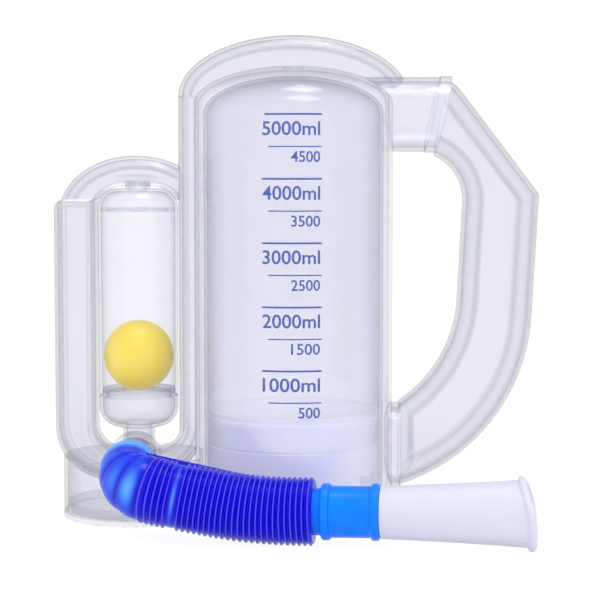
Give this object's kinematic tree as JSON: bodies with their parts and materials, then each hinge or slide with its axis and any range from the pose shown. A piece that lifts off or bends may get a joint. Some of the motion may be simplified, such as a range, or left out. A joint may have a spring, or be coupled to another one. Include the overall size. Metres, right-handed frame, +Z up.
{
  "type": "incentive spirometer",
  "caption": "Bedside breathing trainer: piston in a clear measuring cylinder, ball flow tube, ducts, handle, corrugated hose and mouthpiece.",
  "frame": {"origin": "centre of the underside of the base tray on the measuring cylinder's axis", "axes": "+X to the handle, +Y away from the hose port and the scale's reader, +Z up along the measuring cylinder's axis"},
  "size_m": [0.2398, 0.159, 0.2387],
  "materials": {
    "clear_styrene": "moulded clear, faintly lavender",
    "clear_jacket": "moulded clear, faintly lavender, polished",
    "frosted_styrene": "satin band",
    "white_polythene": "satin white",
    "white_piston": "satin white",
    "yellow_ball": "glossy yellow",
    "pale_blue_cuff": "glossy light blue",
    "scale_ink": "printed blue ink",
    "blue_hose": "glossy deep blue",
    "azure_cuff": "glossy azure",
    "frosted_mouthpiece": "frosted, translucent"
  },
  "bodies": {
    "root": {"base_tray": "clear_styrene", "flow_plinth": "clear_styrene", "outer_jacket": "clear_jacket", "measuring_cylinder": "clear_jacket", "piston_stand": "white_polythene", "duct_front": "clear_styrene", "duct_rear": "clear_styrene", "dome_duct": "clear_styrene", "flow_duct_cap": "clear_styrene", "flow_tube": "clear_jacket", "ball_seat": "clear_styrene", "ball_stop": "clear_styrene", "upper_socket": "clear_styrene", "handle_collar": "frosted_styrene", "handle_front": "clear_styrene", "handle_rear": "clear_styrene", "lower_socket": "clear_styrene", "port_spigot": "clear_styrene"},
    "piston": {"piston_body": "white_piston", "piston_wiper": "white_polythene"},
    "ball": {"float_ball": "yellow_ball"},
    "hose": {"inlet_cuff": "pale_blue_cuff", "corrugated_hose": "blue_hose", "outlet_cuff": "azure_cuff"},
    "mouthpiece": {"mouthpiece": "frosted_mouthpiece"}
  },
  "joints": [
    {"name": "piston_rise", "type": "slide", "parent": "root", "child": "piston", "axis": [0, 0, 1], "range_m": [0, 0.1455]},
    {"name": "ball_rise", "type": "slide", "parent": "root", "child": "ball", "axis": [0, 0, 1], "range_m": [0, 0.053]},
    {"name": "hose_swivel", "type": "hinge", "parent": "root", "child": "hose", "pos_m": [-0.0785, -0.045, 0.03], "axis": [0, -1, 0], "range_deg": [0, 100]},
    {"name": "mouthpiece_turn", "type": "hinge", "parent": "hose", "child": "mouthpiece", "pos_m": [0.0097, -0.0794, 0.0161], "axis": [0.9911, -0.1322, 0.0148], "continuous": true}
  ]
}
